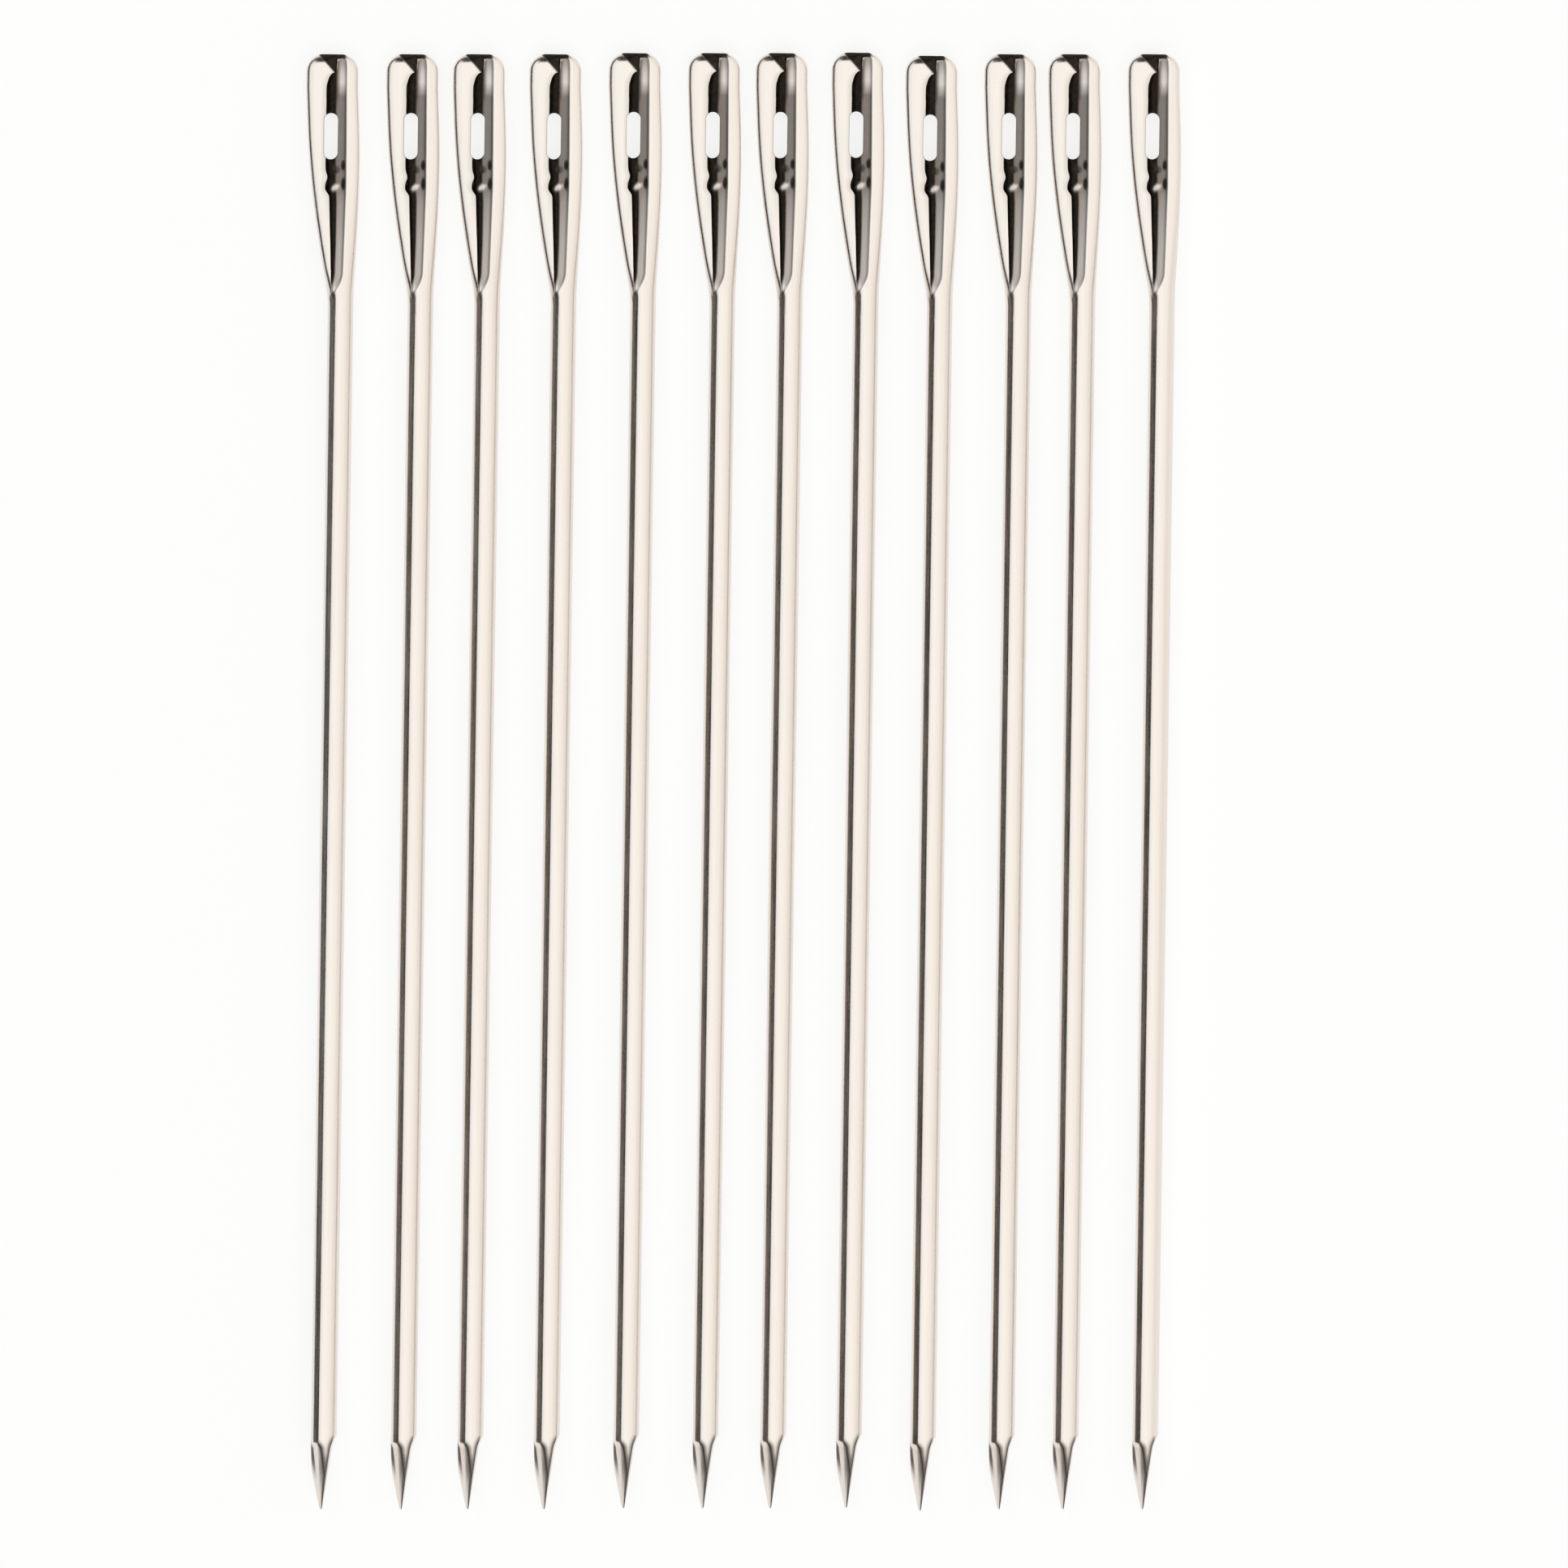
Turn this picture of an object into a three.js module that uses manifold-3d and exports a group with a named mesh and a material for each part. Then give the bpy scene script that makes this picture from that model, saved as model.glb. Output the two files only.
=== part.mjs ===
// A set of twelve hair weaving needles, laid side by side in a row.
// Each needle is one piece of plated steel wire. Its eye end is pressed flat, with a gutter
// stamped into both faces and a long eye punched through the web between them, and its other
// end is ground to a three-sided point.
// Millimetres, +Z up. The needles lie on z = 0 with their eyes towards +Y, and the origin is
// at the middle of the row, on the surface that they lie on.

import * as THREE from 'three';
import { mergeVertices } from 'three/addons/utils/BufferGeometryUtils.js';
import Module from 'manifold-3d';

const wasm = await Module();
wasm.setup();

// The wire
const needleLength = 65;
const wireDiameter = 1.15;
const wireSides = 24;

// The three-sided point: its faces run straight up from a blunt tip, then out in a wheel's
// curve. Each face has the angle that it looks along and its taper.
const pointStraight = 2.7;
const pointBlunt = 0.025;
const pointFaces = [[142.5, 0.143], [10, 0.115], [262.5, 0.145]];
const pointRunOut = 0.8;
const tipShift = 0.105;
const tipRise = 0.03;
const tipRound = 0.12;
const tipFlatness = 0.75;

// The pressed head, measured down from its top end
const headWidth = 2.35;
const headThickness = 0.76;
const headNeck = 10.8;
const headWidest = 3;
const headShift = 0.52;
const headShiftTop = 1.5;
const headShiftPower = 0.8;
const squarenessRight = 2.7;
const squarenessLeftTop = 3.2;
const squarenessLeftLow = 5.5;
const squareFrom = 9.5;
const crownLength = 0.9;
const crownPower = 2.5;
const crownFlat = 0.075;
const crownEdge = 0.5;
const crownRim = 0.22;

// The gutters, one in each face of the head. Each has a steep left wall, a deep slope that
// rises to a ridge, and a shallow trough that ends in a lip on the right. Its lines are given
// as [down from the top, sideways from the shank's axis].
const gutterLeftLine = [
  [0.15, -0.39], [0.72, -0.4], [1, -0.68], [1.5, -0.78], [5.95, -0.78], [6.35, -0.585], [9.7, -0.5],
];
const gutterRidge = -0.3;
const gutterRightLine = [[1.2, 0.14], [5.9, 0.2], [9.7, 0.11]];
const gutterTrough = 0.35;
const gutterTroughDrop = 0.025;
const gutterShortOfNeck = 0.1;
const gutterEndSide = -0.37;
const gutterEndWidth = 0.04;
const gutterLip = 0.06;
const gutterSlope = 0.54;
const gutterWall = 0.05;

// The eye
const eyeWidth = 0.62;
const eyeLength = 2.07;
const eyeDistance = 3.66;
const eyeOffset = 0.12;
const eyeEndSteps = 4;

// The row: clear space from each head to the next, and how far each needle lies up or down
const rowSpaces = [1.22, 0.63, 1.06, 1.2, 1.19, 0.67, 1.04, 0.95, 1.17, 0.51, 1.2];
const rowSlips = [0, 0, 0, 0, 0.05, 0.05, 0.05, 0.07, -0.07, 0, 0, 0];
const rowLean = 0.85;

const wireRadius = wireDiameter / 2;
const gutterEnd = headNeck - gutterShortOfNeck;
const pointLength = pointReach();
// Cutters stand this far out of the faces that they cut, at a gutter's edge and elsewhere.
const edgeCut = 0.02;
const clearCut = 0.4 + Math.max(wireDiameter, headThickness) / 2;

// The distance from the tip at which the ground faces have run out of the wire.
function pointReach() {
  const taper = Math.min(...pointFaces.map(([, rise]) => rise));
  const left = wireRadius - pointBlunt - taper * pointStraight;
  if (left < 0) return (wireRadius - pointBlunt) / taper;
  const root = Math.sqrt(taper ** 2 + 4 * pointRunOut * left);
  return pointStraight + (root - taper) / (2 * pointRunOut);
}

// Stations at the given shares of the way from one distance to another.
function stationsBetween(from, to, shares) {
  return shares.map((part) => THREE.MathUtils.lerp(from, to, part));
}

function share(value, from, to) {
  return THREE.MathUtils.clamp((value - from) / (to - from), 0, 1);
}

// How far the wire has been pressed into the head at a distance down from the top: 0 at the
// neck, 1 at the widest station and above it.
function pressed(down) {
  return Math.sin(share(down, headNeck, headWidest) * Math.PI / 2);
}

// The part of the full width that is left at the rounded corners of the top end.
function crown(down) {
  const inward = (1 - crownFlat) * (1 - share(down, 0, crownLength));
  return (1 - inward ** crownPower) ** (1 / crownPower);
}

// The part of the full thickness that is left where the faces roll down to the top end.
function crownDepth(down) {
  return 1 - (1 - crownRim) * (1 - share(down, 0, crownEdge)) ** 2;
}

// The head leans to the left of the shank, from the neck up.
function headMiddle(down) {
  return -headShift * share(down, headNeck, headShiftTop) ** headShiftPower;
}

function halfWidth(down) {
  return THREE.MathUtils.lerp(wireDiameter, headWidth, pressed(down)) / 2;
}

function halfThickness(down) {
  return THREE.MathUtils.lerp(wireRadius, headThickness / 2, pressed(down));
}

// How square the section is on its left and right sides: 2 is round.
function squareness(down) {
  const top = THREE.MathUtils.lerp(squarenessLeftTop, squarenessLeftLow, share(down, headWidest, squareFrom));
  return {
    left: THREE.MathUtils.lerp(2, top, share(down, headNeck, squareFrom)),
    right: THREE.MathUtils.lerp(2, squarenessRight, pressed(down)),
  };
}

// The height of the head's face above the axis, before it is stamped, at a place sideways.
function faceHeight(across, down) {
  const aside = across - headMiddle(down);
  const power = aside < 0 ? squareness(down).left : squareness(down).right;
  return halfThickness(down) * (1 - Math.min(1, Math.abs(aside) / halfWidth(down)) ** power) ** (1 / power);
}

function signedPower(value, power) {
  return Math.sign(value) * Math.abs(value) ** power;
}

// One ring of the head or shank: a circle on the wire that becomes a flat-faced oval.
function headRing(down) {
  const { left, right } = squareness(down);
  const width = halfWidth(down) * crown(down);
  const depth = halfThickness(down) * crownDepth(down);
  return ringAngles().map((angle) => {
    const power = 2 / (Math.cos(angle) < 0 ? left : right);
    return new THREE.Vector3(
      headMiddle(down) + width * signedPower(Math.cos(angle), power),
      needleLength - down,
      depth * signedPower(Math.sin(angle), power),
    );
  });
}

// One ring of the point: the wire's circle, cut by three ground faces that stand around a
// middle line which runs to the tip.
function pointRing(up) {
  const off = 1 - up / pointLength;
  const middle = new THREE.Vector3(-tipShift * off, up, tipRise * off);
  const runOut = pointRunOut * Math.max(0, up - pointStraight) ** 2;
  const nose = Math.sqrt(1 - tipFlatness * (1 - share(up, 0, tipRound)) ** 2);
  return ringAngles().map((angle) => {
    const way = new THREE.Vector3(Math.cos(angle), 0, Math.sin(angle));
    const along = middle.x * way.x + middle.z * way.z;
    const across = middle.z * way.x - middle.x * way.z;
    let reach = Math.sqrt(wireRadius ** 2 - across ** 2) - along;
    for (const [turn, taper] of pointFaces) {
      const lean = Math.cos(angle - THREE.MathUtils.degToRad(turn));
      if (lean > 1e-6) reach = Math.min(reach, nose * (pointBlunt + taper * up + runOut) / lean);
    }
    return middle.clone().addScaledVector(way, reach);
  });
}

// The vertices stand half a step round, so that one flat of the wire faces straight down.
function ringAngles() {
  return Array.from({ length: wireSides }, (_, k) => (k + 0.5) * 2 * Math.PI / wireSides);
}

// A closed body through a row of rings with the same number of points.
function loft(rings) {
  const count = rings[0].length;
  const points = rings.flat();
  const faces = [];
  for (let ring = 0; ring + 1 < rings.length; ring += 1) {
    for (let k = 0; k < count; k += 1) {
      const a = ring * count + k;
      const b = ring * count + (k + 1) % count;
      faces.push(a, b, a + count, b, b + count, a + count);
    }
  }
  const last = (rings.length - 1) * count;
  for (let k = 1; k + 1 < count; k += 1) {
    faces.push(0, k + 1, k, last, last + k, last + k + 1);
  }
  const geometry = new THREE.BufferGeometry().setFromPoints(points);
  geometry.setIndex(faces);
  return geometry;
}

// A closed body as a solid that can be cut, turned right side out where it is inside out.
function solid(geometry) {
  const merged = geometry.clone();
  merged.deleteAttribute('normal');
  merged.deleteAttribute('uv');
  const welded = mergeVertices(merged, 1e-4);
  const vertProperties = new Float32Array(welded.attributes.position.array);
  const triVerts = new Uint32Array(welded.index.array);
  if (signedVolume(vertProperties, triVerts) < 0) triVerts.reverse();
  return new wasm.Manifold(new wasm.Mesh({ numProp: 3, vertProperties, triVerts }));
}

function signedVolume(positions, triangles) {
  const corner = (index) => new THREE.Vector3().fromArray(positions, index * 3);
  let volume = 0;
  for (let t = 0; t < triangles.length; t += 3) {
    const side = corner(triangles[t + 1]).cross(corner(triangles[t + 2]));
    volume += corner(triangles[t]).dot(side) / 6;
  }
  return volume;
}

function meshGeometry(body) {
  const result = body.getMesh();
  const geometry = new THREE.BufferGeometry();
  geometry.setAttribute('position', new THREE.BufferAttribute(new Float32Array(result.vertProperties), 3));
  geometry.setIndex(new THREE.BufferAttribute(new Uint32Array(result.triVerts), 1));
  return geometry;
}

// The wire with its ground point and pressed head, before it is stamped and punched.
function blank() {
  const point = [0, ...stationsBetween(tipRound, pointStraight, [0, 0.4, 0.72, 1]), pointLength];
  const head = stationsBetween(headNeck, headWidest, [0, 0.17, 0.35, 0.54, 0.76, 1]);
  const top = stationsBetween(crownLength, 0, [0, 0.5, 0.83, 1]);
  return solid(loft([...point.map(pointRing), ...head.map(headRing), ...top.map(headRing)]));
}

// The sideways place of a line at a distance down from the top.
function alongLine(line, down) {
  const next = line.findIndex(([start]) => down <= start);
  if (next < 1) return line.at(next)[1];
  const [start, side] = line[next - 1];
  const [end, endSide] = line[next];
  return THREE.MathUtils.lerp(side, endSide, share(down, start, end));
}

// The space that one gutter takes. Near the neck its sides close to a point and its depth
// runs out. face is 1 for the upper gutter and -1 for the lower one.
function gutter(face) {
  const closeStart = gutterLeftLine.at(-1)[0];
  const closing = stationsBetween(closeStart, gutterEnd, [0.6, 1]);
  return solid(loft([...gutterLeftLine.map(([down]) => down), ...closing].map((down) => {
    const closed = share(down, closeStart, gutterEnd) ** 2;
    const left = THREE.MathUtils.lerp(alongLine(gutterLeftLine, down), gutterEndSide - gutterEndWidth, closed);
    const ridge = THREE.MathUtils.lerp(gutterRidge, gutterEndSide, closed);
    const right = THREE.MathUtils.lerp(alongLine(gutterRightLine, down), gutterEndSide + gutterEndWidth, closed);
    const lip = THREE.MathUtils.lerp(gutterLip, -edgeCut, closed);
    const ridgeHeight = faceHeight(ridge, down) - lip;
    const wallFoot = left + Math.min(gutterWall, (ridge - left) / 2);
    return [
      [left, clearCut],
      [wallFoot, ridgeHeight - gutterSlope * (ridge - wallFoot) * (1 - closed)],
      [ridge, ridgeHeight],
      [THREE.MathUtils.lerp(ridge, right, gutterTrough), ridgeHeight - gutterTroughDrop * (1 - closed)],
      [right, faceHeight(right, down) + edgeCut],
      [right, clearCut],
    ].map(([x, z]) => new THREE.Vector3(x, needleLength - down, face * z));
  })));
}

// The eye is a long round-ended hole through the web.
function eye() {
  const straight = (eyeLength - eyeWidth) / 2;
  const outline = new THREE.Shape();
  outline.absarc(0, straight, eyeWidth / 2, 0, Math.PI, false);
  outline.absarc(0, -straight, eyeWidth / 2, Math.PI, 2 * Math.PI, false);
  const geometry = new THREE.ExtrudeGeometry(outline, {
    depth: 2 * clearCut,
    bevelEnabled: false,
    curveSegments: eyeEndSteps,
  });
  geometry.translate(headMiddle(eyeDistance) - eyeOffset, needleLength - eyeDistance, -clearCut);
  return solid(geometry);
}

const needleGeometry = meshGeometry(blank().subtract(gutter(1)).subtract(gutter(-1)).subtract(eye()));
// The lowest flat of the wire lies on the surface.
const axisHeight = wireRadius * Math.cos(Math.PI / wireSides);

function platedSteel() {
  return new THREE.MeshStandardMaterial({ color: 0xd9d1c7, metalness: 1, roughness: 0.16 });
}

const row = new THREE.Group();
let across = 0;
rowSlips.forEach((slip, index) => {
  const needle = new THREE.Mesh(needleGeometry.clone(), platedSteel());
  needle.name = `needle_${String(index + 1).padStart(2, '0')}`;
  needle.position.set(across, slip, axisHeight);
  needle.rotation.z = -THREE.MathUtils.degToRad(rowLean);
  row.add(needle);
  across += headWidth + (rowSpaces[index] ?? 0);
});

const rowCentre = new THREE.Box3().setFromObject(row, true).getCenter(new THREE.Vector3());
row.position.set(-rowCentre.x, -rowCentre.y, 0);

const needleSet = new THREE.Group();
needleSet.add(row);

export default needleSet;
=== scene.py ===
"""A set of hair weaving needles of bright plated steel, laid in a row on a white table.

The model is in metres, +Z up, with the eyes towards +Y. Each needle is one piece of wire: a
pressed head with a gutter in both faces and a long eye, a round shank with two slight flats,
and a three-sided point.
"""

import math

import bmesh
import bpy
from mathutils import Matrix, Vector


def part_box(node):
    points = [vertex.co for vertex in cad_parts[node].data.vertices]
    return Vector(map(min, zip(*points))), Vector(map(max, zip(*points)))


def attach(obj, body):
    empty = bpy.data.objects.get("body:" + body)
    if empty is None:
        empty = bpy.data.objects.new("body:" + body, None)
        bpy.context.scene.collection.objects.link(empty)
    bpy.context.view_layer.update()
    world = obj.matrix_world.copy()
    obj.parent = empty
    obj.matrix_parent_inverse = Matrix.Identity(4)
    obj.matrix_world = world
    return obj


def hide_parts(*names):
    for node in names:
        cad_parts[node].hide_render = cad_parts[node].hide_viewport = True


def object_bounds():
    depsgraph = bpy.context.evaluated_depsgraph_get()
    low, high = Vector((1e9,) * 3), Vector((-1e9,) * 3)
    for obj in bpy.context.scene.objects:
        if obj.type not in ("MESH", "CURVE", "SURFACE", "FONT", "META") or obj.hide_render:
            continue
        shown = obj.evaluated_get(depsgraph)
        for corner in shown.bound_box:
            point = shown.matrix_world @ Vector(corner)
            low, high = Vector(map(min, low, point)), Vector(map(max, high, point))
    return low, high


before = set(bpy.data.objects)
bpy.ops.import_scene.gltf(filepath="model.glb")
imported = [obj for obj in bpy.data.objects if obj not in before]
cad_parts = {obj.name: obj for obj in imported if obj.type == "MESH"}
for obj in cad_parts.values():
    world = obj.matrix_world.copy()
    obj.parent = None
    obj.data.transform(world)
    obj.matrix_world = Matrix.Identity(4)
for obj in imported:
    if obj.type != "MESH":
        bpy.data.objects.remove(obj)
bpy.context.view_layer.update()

MM = 0.001
NEEDLES = sorted(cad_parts)

# The needle's own sizes in millimetres. Distances are measured down from its top end, and
# sideways from the shank's axis, with minus to the left. Where something has a pair of places,
# it starts at the first and is full at the second.
LENGTH = 65.0
WIRE_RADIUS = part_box(NEEDLES[0])[1].z / MM / 2
ROW_LEAN = math.radians(0.85)

# The head widens from the neck, softly over this first share of its length, while its middle
# line runs off to the left. Its section has a squareness for each side: 2 is round, and more is
# fuller.
HEAD_WIDTH = 2.32
HEAD_THICKNESS = 0.76
HEAD_NECK = 11.25
NECK_EASE = 0.12
HEAD_WIDEST = 3.0
HEAD_SHIFT = 0.52
HEAD_SHIFT_TOP = 1.5
HEAD_SHIFT_POWER = 0.8
ROUND = 2.0
SQUARENESS_RIGHT = 2.7
SQUARENESS_LEFT = (3.7, 3.8)
SQUARE_FROM = (11.1, 9.2)

# The top end is rounded to a small flat. Its rim is rolled over to a share of the thickness on
# the left, and stays full on the right.
CROWN_LENGTH = 0.9
CROWN_POWER = 2.5
CROWN_FLAT = 0.05
CROWN_EDGE = 0.5
CROWN_RIM = (0.22, 1.0)
CROWN_RIM_FROM = (-0.25, 0.1)

# The nose is a flat that slopes down to the top end, on the left lip of the gutter. Its edge
# starts at this place, sideways and down, and runs this way. No part of it lies below its end.
# Where it cuts nothing, its surface lies a little above the face.
NOSE_START = (-1.066, 0.13)
NOSE_WAY = (0.666, 0.746)
NOSE_SLOPE = 0.4
NOSE_ROUND = 0.04
NOSE_END = 1.3
NOSE_FADE = 0.2
NOSE_ABOVE = 0.01
NOSE_ABOVE_SLOT = 0.05

# The nose and the top end as far as the right lip carry painted shade
NOSE_DARK = (-0.02, 0.05)
CUT_END_LEFT = (-1.35, -1.25)
CUT_END_RIGHT = (0.13, 0.03)
CUT_END_DOWN = (0.26, 0.18)
CUT_END_SOFT = 0.04

# The gutter's lines: a steep left wall, a deep slope that rises to a ridge, and a shallow
# trough that ends in a lip on the right. At its top the gutter is a slot, which opens in a
# round corner. Its left wall has a waist below the eye, given by its middle, its reach and how
# far it comes in, and then a step. The three lines run together at the lower end.
SLOT_LEFT = -0.39
GUTTER_CORNER = (0.82, 1.6)
GUTTER_LEFT = -0.76
WAIST = (5.5, 0.22, 0.09)
GUTTER_STEP = (6.0, 6.4)
GUTTER_LEFT_LOW = (-0.57, -0.45)
RIDGE = ((0.0, -0.32), (5.6, -0.3), (6.6, -0.24), (8.5, -0.245), (9.9, -0.28))
GUTTER_RIGHT = ((1.2, 0.16), (5.9, 0.2), (9.7, 0.11))
GUTTER_CLOSE = 9.7
GUTTER_END = 10.7
GUTTER_END_SIDE = -0.35
GUTTER_END_SPREAD = (-0.04, -0.01, 0.02)

# The slopes in the gutter, and how deep its ridge lies below the face
WALL_SLOPE = 7.0
DEEP_SLOPE = 0.54
LIP_SLOPE = 0.67
RIDGE_DEPTH = 0.06
RIDGE_DEPTH_TO = 9.4
RIDGE_ROUND = 0.03
GUTTER_EDGE_ROUND = 0.03

# How much painted shade the shallow trough has at distances down from the top, and how much more
# its lip has
TROUGH_DARK = (
    (0.3, 0.62),
    (0.55, 0.5),
    (0.85, 0.32),
    (1.25, 0.24),
    (1.9, 0.78),
    (5.9, 0.78),
    (6.6, 0.64),
    (8.4, 0.52),
    (9.9, 0.48),
)
LIP_DARK = 0.14
LIP_DARK_WIDTH = (0.16, 0.02)

# The painted shade of the deep slope reaches past the ridge, further at the top than beside the
# eye and below it. All this painted shade is full where the gutter has come this deep below the
# face.
RIDGE_DARK_WIDTH = (0.22, 0.06)
RIDGE_DARK_DOWN = (1.4, 2.4)
RIDGE_DARK_INSIDE = 0.04
DARK_DEPTH = 0.05

# The face's left strip gets a little painted shade towards the gutter
CHEEK_EDGE_DARK = 0.2
CHEEK_EDGE_WIDTH = 0.3
CHEEK_EDGE_INSIDE = 0.1
CHEEK_EDGE_TOP = (0.4, 0.9)
CHEEK_EDGE_LOW = (8.0, 6.0)

# Flat-topped lumps and pits that the stamping tool leaves below the eye: down from the top,
# sideways from the axis, half length, half width, how much painted highlight lifts their painted
# shade (below 0, how much more painted shade they have), and their lean. The lumps with painted
# highlight rise and the others sink.
STAMP_MARKS = (
    (5.95, -0.34, 0.17, 0.25, 0.62, 0.35),
    (5.137, -0.25, 0.16, 0.16, -0.15, 0.0),
    (4.955, 0.0, 0.2, 0.07, -0.35, 0.0),
    (5.785, 0.02, 0.25, 0.07, -0.35, 0.0),
)
MARK_RISE = 0.06
MARK_EDGE = 1.2

# The eye's middle lies to the left of the head's middle line
EYE_WIDTH = 0.62
EYE_LENGTH = 2.07
EYE_DISTANCE = 3.66
EYE_OFFSET = 0.12
EYE_EDGE_ROUND = 0.05
EYE_STRAIGHT = (EYE_LENGTH - EYE_WIDTH) / 2

# The shank was clamped for stamping and grinding, which left it a slight flat on the left side,
# above and below: the angle that it looks along, and how far it lies inside the round wire. The
# reach of a flat or a ground face is the cosine of the widest angle away from it that it cuts.
WIRE_FLAT_TURN = math.radians(130)
WIRE_FLAT_DEPTH = 0.0196
WIRE_FLAT_PLACE = WIRE_RADIUS - WIRE_FLAT_DEPTH
WIRE_FLAT_ROUND = 0.003
WIRE_FLAT_FROM = (10.45, 11.0)
WIRE_FLAT_REACH = 0.5

# The point: three ground faces around a middle line that runs to the tip. Each has the angle
# that it looks along, its taper, and how fast it runs out of the wire above the straight part.
# The faces are slightly crowned, and their edges are full round from this far above the tip.
POINT_STRAIGHT = 2.7
POINT_BLUNT = 0.038
POINT_FACES = ((142.5, 0.14, 1.2), (5.0, 0.115, 0.4), (262.5, 0.142, 0.8))
POINT_FACE_REACH = 0.12
POINT_CROWN = 0.93
POINT_EDGE_ROUND = 0.05
POINT_EDGE_LEAST = 0.002
POINT_EDGE_FULL = 1.0

# The tip lies to the left of the shank's axis and above it, and its end is rounded off
TIP_SHIFT = 0.078
TIP_RISE = 0.03
TIP_ROUND = 0.12
TIP_CLOSE = 0.96

# A strip of painted shade runs along the upper edges of the faces, which is wider below the
# first of these distances up from the tip than above the second. It fades at these angles.
GROUND_EDGE = (0.26, 0.12)
GROUND_EDGE_UP = (1.7, 2.6)
GROUND_EDGE_DARK = 0.88
GROUND_EDGE_LEFT = (126.0, 112.0)
GROUND_EDGE_RIGHT = (34.0, 48.0)

# A line of painted shade runs along the point's left side, in shares of its radius, and fades at
# both ends
SIDE_LINE = (-0.95, -0.995)
SIDE_LINE_UP = (1.2, 2.3)
SIDE_LINE_TOP = (3.25, 2.7)
SIDE_LINE_DARK = 0.85

# How many columns of faces each part of a ring takes. They lie closer at the gutter's left
# edge, and spread out evenly round the wire over this distance below the neck.
CHEEK_LEFT = 24
CHEEK_RIGHT = 18
HALF_RING = 40
BESIDE_EYE = 5
WALL_POWER = 1.4
COLUMN_SPREAD = 3.0

# How far a column stands outside the gutter's edges and to the right of its ridge, and the
# share of the half width that the gutter's columns keep within. Above and below the eye, the two
# middle columns move to this share of the way from the gutter's left edge to its ridge.
EDGE_SPACE = 0.03
RIDGE_SPACE = 0.02
GUTTER_SHARE = 0.9
CLOSED_SHARE = 0.7
CLOSED_WITHIN = 0.9

# How many rings each stretch of the needle takes, from the top end to the tip, and how near a
# ring of the head may be to one of the eye's
CROWN_RINGS = 44
CROWN_RING_POWER = 1.3
CORNER_RINGS = 28
HEAD_RINGS = 130
EYE_RINGS = 12
NECK_RINGS = 20
SHANK_RINGS = 8
RUN_OUT_RINGS = 36
POINT_RINGS = 30
TIP_RINGS = 8
RING_SPACE = 0.03
SAME_DISTANCE = 1e-9


def share(value, start, end):
    """How far value is from start to end, from 0 to 1."""
    return min(1.0, max(0.0, (value - start) / (end - start)))


def smooth(value, start, end):
    part = share(value, start, end)
    return part * part * (3 - 2 * part)


def mix(low, high, part):
    return low + (high - low) * part


def smaller(one, other, soft):
    """The smaller of two heights, with the corner between them rounded."""
    near = max(soft - abs(one - other), 0.0) / soft
    return min(one, other) - near * near * soft / 4


def from_neck(down, end):
    """How far it is from the neck to the end, with a soft start that leaves no crease."""
    part = share(down, HEAD_NECK, end)
    soft = part * part / (2 * NECK_EASE) if part < NECK_EASE else part - NECK_EASE / 2
    return soft / (1 - NECK_EASE / 2)


def pressed(down):
    """How far the wire is pressed to the head's full width and thickness."""
    return math.sin(from_neck(down, HEAD_WIDEST) * math.pi / 2)


def crown(down):
    """The share of the width that the rounded top end leaves."""
    inward = (1 - CROWN_FLAT) * (1 - share(down, 0, CROWN_LENGTH))
    return (1 - inward**CROWN_POWER) ** (1 / CROWN_POWER)


def head_middle(down):
    return -HEAD_SHIFT * from_neck(down, HEAD_SHIFT_TOP) ** HEAD_SHIFT_POWER


def head_section(down):
    """Half the width, half the thickness and the squareness of the two sides of the head."""
    press = pressed(down)
    half_width = mix(WIRE_RADIUS, HEAD_WIDTH / 2, press) * crown(down)
    half_depth = mix(WIRE_RADIUS, HEAD_THICKNESS / 2, press)
    fullest = mix(*SQUARENESS_LEFT, share(down, HEAD_WIDEST, SQUARE_FROM[1]))
    left = mix(ROUND, fullest, smooth(down, *SQUARE_FROM))
    return half_width, half_depth, left, mix(ROUND, SQUARENESS_RIGHT, press)


def oval(across, down):
    """The height of the head before it is stamped."""
    half_width, half_depth, left, right = head_section(down)
    aside = across - head_middle(down)
    power = left if aside < 0 else right
    rim = mix(*CROWN_RIM, smooth(across, *CROWN_RIM_FROM))
    roll = mix(1.0, rim, (1 - share(down, 0, CROWN_EDGE)) ** 2)
    return roll * half_depth * (1 - min(1.0, abs(aside) / half_width) ** power) ** (1 / power)


def plain_height(across, down):
    """The height of the head as it would be without its crown."""
    return oval(across, max(down, CROWN_LENGTH))


def along_line(down, *places):
    """The sideways place at this distance on a line through the given places."""
    for (start, side), (end, end_side) in zip(places, places[1:]):
        if down <= end:
            return mix(side, end_side, share(down, start, end))
    return places[-1][1]


def gutter_lines(down):
    """The gutter's left edge, its ridge and its right edge, sideways from the axis."""
    left = mix(SLOT_LEFT, GUTTER_LEFT, math.sqrt(1 - (1 - share(down, *GUTTER_CORNER)) ** 2))
    low = mix(*GUTTER_LEFT_LOW, share(down, GUTTER_STEP[1], GUTTER_CLOSE))
    left = mix(left, low, smooth(down, *GUTTER_STEP))
    middle, reach, inward = WAIST
    left += inward * math.exp(-(((down - middle) / reach) ** 2))
    lines = (left, along_line(down, *RIDGE), along_line(down, *GUTTER_RIGHT))
    close = share(down, GUTTER_CLOSE, GUTTER_END) ** 2
    ends = [GUTTER_END_SIDE + spread for spread in GUTTER_END_SPREAD]
    return [mix(line, end, close) for line, end in zip(lines, ends)]


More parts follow.
